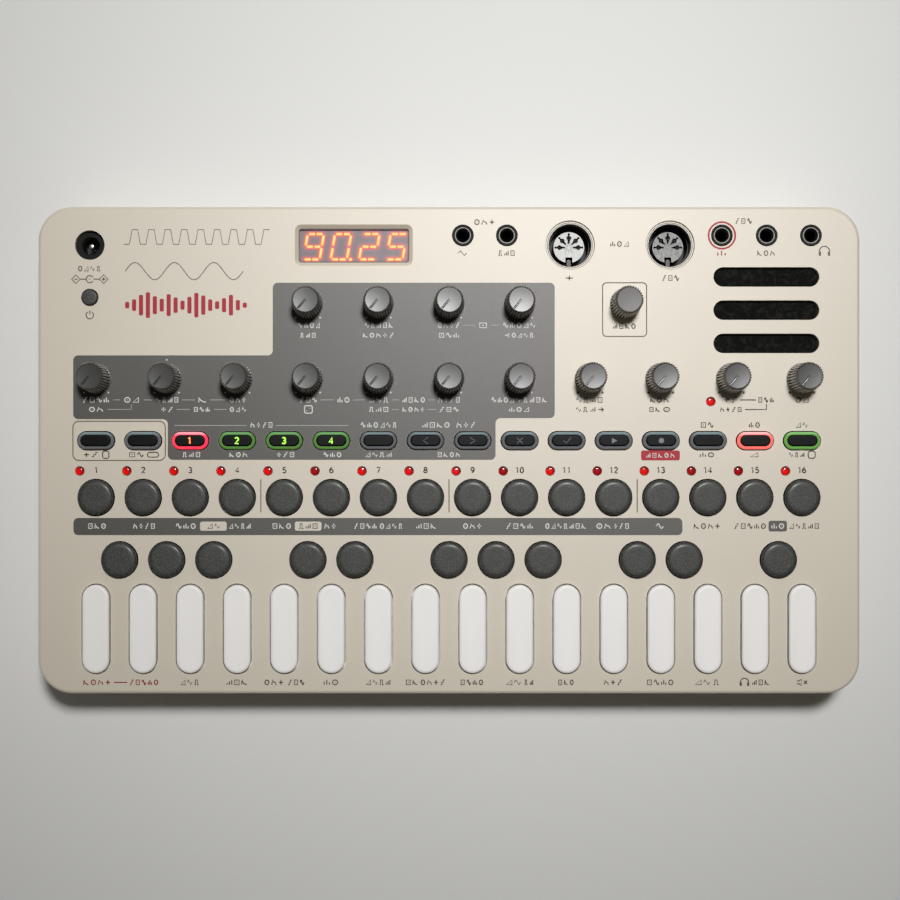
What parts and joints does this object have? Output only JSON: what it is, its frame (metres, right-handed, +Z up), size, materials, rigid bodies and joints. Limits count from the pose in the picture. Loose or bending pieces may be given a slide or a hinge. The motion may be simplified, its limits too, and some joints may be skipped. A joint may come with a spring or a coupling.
{
  "type": "sampler",
  "caption": "Desktop sampler: a cream slab case with rows of keys and buttons, ribbed knobs, a display, sockets and a speaker.",
  "frame": {"origin": "middle of the case in plan, on the table that the rubber feet stand on", "axes": "+Z up out of the control panel, +X to the right of the player, +Y towards the sockets"},
  "size_m": [0.297, 0.176, 0.048],
  "materials": {
    "case_cream": "fine moulded grain, cream",
    "case_base": "fine moulded grain, cream",
    "sprung_steel": "bright nickel plate",
    "foot_rubber": "soft matte",
    "black_steel": "black oxide",
    "board_green": "solder mask",
    "moulded_black": "moulded",
    "light_red": "clear red",
    "display_face": "smoked grey",
    "window_clear": "clear acrylic",
    "plated_metal": "black nickel plate",
    "socket_black": "moulded",
    "speaker_black": "acoustic cloth",
    "button_grey": "fine speckled grain",
    "knob_grey": "satin, ribbed",
    "key_white": "satin",
    "function_black": "glossy black on a translucent rim"
  },
  "bodies": {
    "case": {"top_case": "case_cream", "bottom_case": "case_base", "battery_contacts": "sprung_steel", "rubber_feet": "foot_rubber", "case_screws": "black_steel", "circuit_boards": "board_green", "tact_switches": "moulded_black", "rotary_controls": "moulded_black", "indicator_lights": "light_red", "display_module": "display_face", "display_window": "window_clear", "mini_jacks": "plated_metal", "din_sockets": "socket_black", "dc_socket": "socket_black", "speaker": "speaker_black"},
    "knob_value": {"knob_value": "knob_grey"},
    "knob_cutoff": {"knob_cutoff": "knob_grey"},
    "knob_volume": {"knob_volume": "knob_grey"},
    "white_key_01": {"white_key_01": "key_white"},
    "white_key_16": {"white_key_16": "key_white"},
    "black_keys_low": {"black_keys_low": "button_grey"},
    "black_keys_high": {"black_keys_high": "button_grey"},
    "step_buttons_1": {"step_buttons_1": "button_grey"},
    "step_buttons_2": {"step_buttons_2": "button_grey"},
    "step_buttons_3": {"step_buttons_3": "button_grey"},
    "step_buttons_4": {"step_buttons_4": "button_grey"},
    "shift_buttons": {"shift_buttons": "function_black"},
    "track_buttons": {"track_buttons": "function_black"},
    "octave_buttons": {"octave_buttons": "function_black"},
    "transport_buttons": {"transport_buttons": "function_black"},
    "pattern_buttons": {"pattern_buttons": "function_black"},
    "power_button": {"power_button": "button_grey"},
    "battery_cover": {"battery_cover": "case_base"},
    "knob_depth": {"knob_depth": "knob_grey"},
    "knob_time": {"knob_time": "knob_grey"},
    "knob_rate": {"knob_rate": "knob_grey"},
    "knob_pitch": {"knob_pitch": "knob_grey"},
    "knob_filter": {"knob_filter": "knob_grey"},
    "knob_release": {"knob_release": "knob_grey"},
    "knob_reverb": {"knob_reverb": "knob_grey"},
    "knob_velocity": {"knob_velocity": "knob_grey"},
    "knob_pattern": {"knob_pattern": "knob_grey"},
    "knob_bank": {"knob_bank": "knob_grey"},
    "knob_sample": {"knob_sample": "knob_grey"},
    "knob_speed": {"knob_speed": "knob_grey"},
    "knob_amount": {"knob_amount": "knob_grey"},
    "white_key_02": {"white_key_02": "key_white"},
    "white_key_03": {"white_key_03": "key_white"},
    "white_key_04": {"white_key_04": "key_white"},
    "white_key_05": {"white_key_05": "key_white"},
    "white_key_06": {"white_key_06": "key_white"},
    "white_key_07": {"white_key_07": "key_white"},
    "white_key_08": {"white_key_08": "key_white"},
    "white_key_09": {"white_key_09": "key_white"},
    "white_key_10": {"white_key_10": "key_white"},
    "white_key_11": {"white_key_11": "key_white"},
    "white_key_12": {"white_key_12": "key_white"},
    "white_key_13": {"white_key_13": "key_white"},
    "white_key_14": {"white_key_14": "key_white"},
    "white_key_15": {"white_key_15": "key_white"}
  },
  "joints": [
    {"name": "knob_value_turn", "type": "hinge", "parent": "case", "child": "knob_value", "pos_m": [0.06375, 0.053, 0.033], "axis": [0, 0, 1], "continuous": true},
    {"name": "knob_cutoff_turn", "type": "hinge", "parent": "case", "child": "knob_cutoff", "pos_m": [-0.1275, 0.0259, 0.033], "axis": [0, 0, 1], "range_deg": [-280, 0]},
    {"name": "knob_volume_turn", "type": "hinge", "parent": "case", "child": "knob_volume", "pos_m": [0.1275, 0.0259, 0.033], "axis": [0, 0, 1], "range_deg": [-280, 0]},
    {"name": "white_key_01_press", "type": "slide", "parent": "case", "child": "white_key_01", "axis": [0, 0, -1], "range_m": [0, 0.001], "stiffness_N_per_m": 600, "springref_m": -0.0005},
    {"name": "white_key_16_press", "type": "slide", "parent": "case", "child": "white_key_16", "axis": [0, 0, -1], "range_m": [0, 0.001], "stiffness_N_per_m": 600, "springref_m": -0.0005},
    {"name": "black_keys_low_press", "type": "slide", "parent": "case", "child": "black_keys_low", "axis": [0, 0, -1], "range_m": [0, 0.001], "stiffness_N_per_m": 600, "springref_m": -0.0005},
    {"name": "black_keys_high_press", "type": "slide", "parent": "case", "child": "black_keys_high", "axis": [0, 0, -1], "range_m": [0, 0.001], "stiffness_N_per_m": 600, "springref_m": -0.0005},
    {"name": "step_buttons_1_press", "type": "slide", "parent": "case", "child": "step_buttons_1", "axis": [0, 0, -1], "range_m": [0, 0.001], "stiffness_N_per_m": 600, "springref_m": -0.0005},
    {"name": "step_buttons_2_press", "type": "slide", "parent": "case", "child": "step_buttons_2", "axis": [0, 0, -1], "range_m": [0, 0.001], "stiffness_N_per_m": 600, "springref_m": -0.0005},
    {"name": "step_buttons_3_press", "type": "slide", "parent": "case", "child": "step_buttons_3", "axis": [0, 0, -1], "range_m": [0, 0.001], "stiffness_N_per_m": 600, "springref_m": -0.0005},
    {"name": "step_buttons_4_press", "type": "slide", "parent": "case", "child": "step_buttons_4", "axis": [0, 0, -1], "range_m": [0, 0.001], "stiffness_N_per_m": 600, "springref_m": -0.0005},
    {"name": "shift_buttons_press", "type": "slide", "parent": "case", "child": "shift_buttons", "axis": [0, 0, -1], "range_m": [0, 0.001], "stiffness_N_per_m": 600, "springref_m": -0.0005},
    {"name": "track_buttons_press", "type": "slide", "parent": "case", "child": "track_buttons", "axis": [0, 0, -1], "range_m": [0, 0.001], "stiffness_N_per_m": 600, "springref_m": -0.0005},
    {"name": "octave_buttons_press", "type": "slide", "parent": "case", "child": "octave_buttons", "axis": [0, 0, -1], "range_m": [0, 0.001], "stiffness_N_per_m": 600, "springref_m": -0.0005},
    {"name": "transport_buttons_press", "type": "slide", "parent": "case", "child": "transport_buttons", "axis": [0, 0, -1], "range_m": [0, 0.001], "stiffness_N_per_m": 600, "springref_m": -0.0005},
    {"name": "pattern_buttons_press", "type": "slide", "parent": "case", "child": "pattern_buttons", "axis": [0, 0, -1], "range_m": [0, 0.001], "stiffness_N_per_m": 600, "springref_m": -0.0005},
    {"name": "power_button_press", "type": "slide", "parent": "case", "child": "power_button", "axis": [0, 0, -1], "range_m": [0, 0.001], "stiffness_N_per_m": 600, "springref_m": -0.0005},
    {"name": "battery_cover_lift", "type": "slide", "parent": "case", "child": "battery_cover", "axis": [0, 0, -1], "range_m": [0, 0.03]},
    {"name": "knob_depth_turn", "type": "hinge", "parent": "case", "child": "knob_depth", "pos_m": [-0.102, 0.0259, 0.033], "axis": [0, 0, 1], "range_deg": [-280, 0]},
    {"name": "knob_time_turn", "type": "hinge", "parent": "case", "child": "knob_time", "pos_m": [-0.0765, 0.0259, 0.033], "axis": [0, 0, 1], "range_deg": [-280, 0]},
    {"name": "knob_rate_turn", "type": "hinge", "parent": "case", "child": "knob_rate", "pos_m": [-0.051, 0.0259, 0.033], "axis": [0, 0, 1], "range_deg": [-280, 0]},
    {"name": "knob_pitch_turn", "type": "hinge", "parent": "case", "child": "knob_pitch", "pos_m": [-0.0255, 0.0259, 0.033], "axis": [0, 0, 1], "range_deg": [-280, 0]},
    {"name": "knob_filter_turn", "type": "hinge", "parent": "case", "child": "knob_filter", "pos_m": [0, 0.0259, 0.033], "axis": [0, 0, 1], "range_deg": [-280, 0]},
    {"name": "knob_release_turn", "type": "hinge", "parent": "case", "child": "knob_release", "pos_m": [0.0255, 0.0259, 0.033], "axis": [0, 0, 1], "range_deg": [-280, 0]},
    {"name": "knob_reverb_turn", "type": "hinge", "parent": "case", "child": "knob_reverb", "pos_m": [0.051, 0.0259, 0.033], "axis": [0, 0, 1], "range_deg": [-280, 0]},
    {"name": "knob_velocity_turn", "type": "hinge", "parent": "case", "child": "knob_velocity", "pos_m": [0.0765, 0.0259, 0.033], "axis": [0, 0, 1], "range_deg": [-280, 0]},
    {"name": "knob_pattern_turn", "type": "hinge", "parent": "case", "child": "knob_pattern", "pos_m": [0.102, 0.0259, 0.033], "axis": [0, 0, 1], "range_deg": [-280, 0]},
    {"name": "knob_bank_turn", "type": "hinge", "parent": "case", "child": "knob_bank", "pos_m": [-0.051, 0.053, 0.033], "axis": [0, 0, 1], "range_deg": [-280, 0]},
    {"name": "knob_sample_turn", "type": "hinge", "parent": "case", "child": "knob_sample", "pos_m": [-0.0255, 0.053, 0.033], "axis": [0, 0, 1], "range_deg": [-280, 0]},
    {"name": "knob_speed_turn", "type": "hinge", "parent": "case", "child": "knob_speed", "pos_m": [0, 0.053, 0.033], "axis": [0, 0, 1], "range_deg": [-280, 0]},
    {"name": "knob_amount_turn", "type": "hinge", "parent": "case", "child": "knob_amount", "pos_m": [0.0255, 0.053, 0.033], "axis": [0, 0, 1], "range_deg": [-280, 0]},
    {"name": "white_key_02_press", "type": "slide", "parent": "case", "child": "white_key_02", "axis": [0, 0, -1], "range_m": [0, 0.001], "stiffness_N_per_m": 600, "springref_m": -0.0005},
    {"name": "white_key_03_press", "type": "slide", "parent": "case", "child": "white_key_03", "axis": [0, 0, -1], "range_m": [0, 0.001], "stiffness_N_per_m": 600, "springref_m": -0.0005},
    {"name": "white_key_04_press", "type": "slide", "parent": "case", "child": "white_key_04", "axis": [0, 0, -1], "range_m": [0, 0.001], "stiffness_N_per_m": 600, "springref_m": -0.0005},
    {"name": "white_key_05_press", "type": "slide", "parent": "case", "child": "white_key_05", "axis": [0, 0, -1], "range_m": [0, 0.001], "stiffness_N_per_m": 600, "springref_m": -0.0005},
    {"name": "white_key_06_press", "type": "slide", "parent": "case", "child": "white_key_06", "axis": [0, 0, -1], "range_m": [0, 0.001], "stiffness_N_per_m": 600, "springref_m": -0.0005},
    {"name": "white_key_07_press", "type": "slide", "parent": "case", "child": "white_key_07", "axis": [0, 0, -1], "range_m": [0, 0.001], "stiffness_N_per_m": 600, "springref_m": -0.0005},
    {"name": "white_key_08_press", "type": "slide", "parent": "case", "child": "white_key_08", "axis": [0, 0, -1], "range_m": [0, 0.001], "stiffness_N_per_m": 600, "springref_m": -0.0005},
    {"name": "white_key_09_press", "type": "slide", "parent": "case", "child": "white_key_09", "axis": [0, 0, -1], "range_m": [0, 0.001], "stiffness_N_per_m": 600, "springref_m": -0.0005},
    {"name": "white_key_10_press", "type": "slide", "parent": "case", "child": "white_key_10", "axis": [0, 0, -1], "range_m": [0, 0.001], "stiffness_N_per_m": 600, "springref_m": -0.0005},
    {"name": "white_key_11_press", "type": "slide", "parent": "case", "child": "white_key_11", "axis": [0, 0, -1], "range_m": [0, 0.001], "stiffness_N_per_m": 600, "springref_m": -0.0005},
    {"name": "white_key_12_press", "type": "slide", "parent": "case", "child": "white_key_12", "axis": [0, 0, -1], "range_m": [0, 0.001], "stiffness_N_per_m": 600, "springref_m": -0.0005},
    {"name": "white_key_13_press", "type": "slide", "parent": "case", "child": "white_key_13", "axis": [0, 0, -1], "range_m": [0, 0.001], "stiffness_N_per_m": 600, "springref_m": -0.0005},
    {"name": "white_key_14_press", "type": "slide", "parent": "case", "child": "white_key_14", "axis": [0, 0, -1], "range_m": [0, 0.001], "stiffness_N_per_m": 600, "springref_m": -0.0005},
    {"name": "white_key_15_press", "type": "slide", "parent": "case", "child": "white_key_15", "axis": [0, 0, -1], "range_m": [0, 0.001], "stiffness_N_per_m": 600, "springref_m": -0.0005}
  ]
}
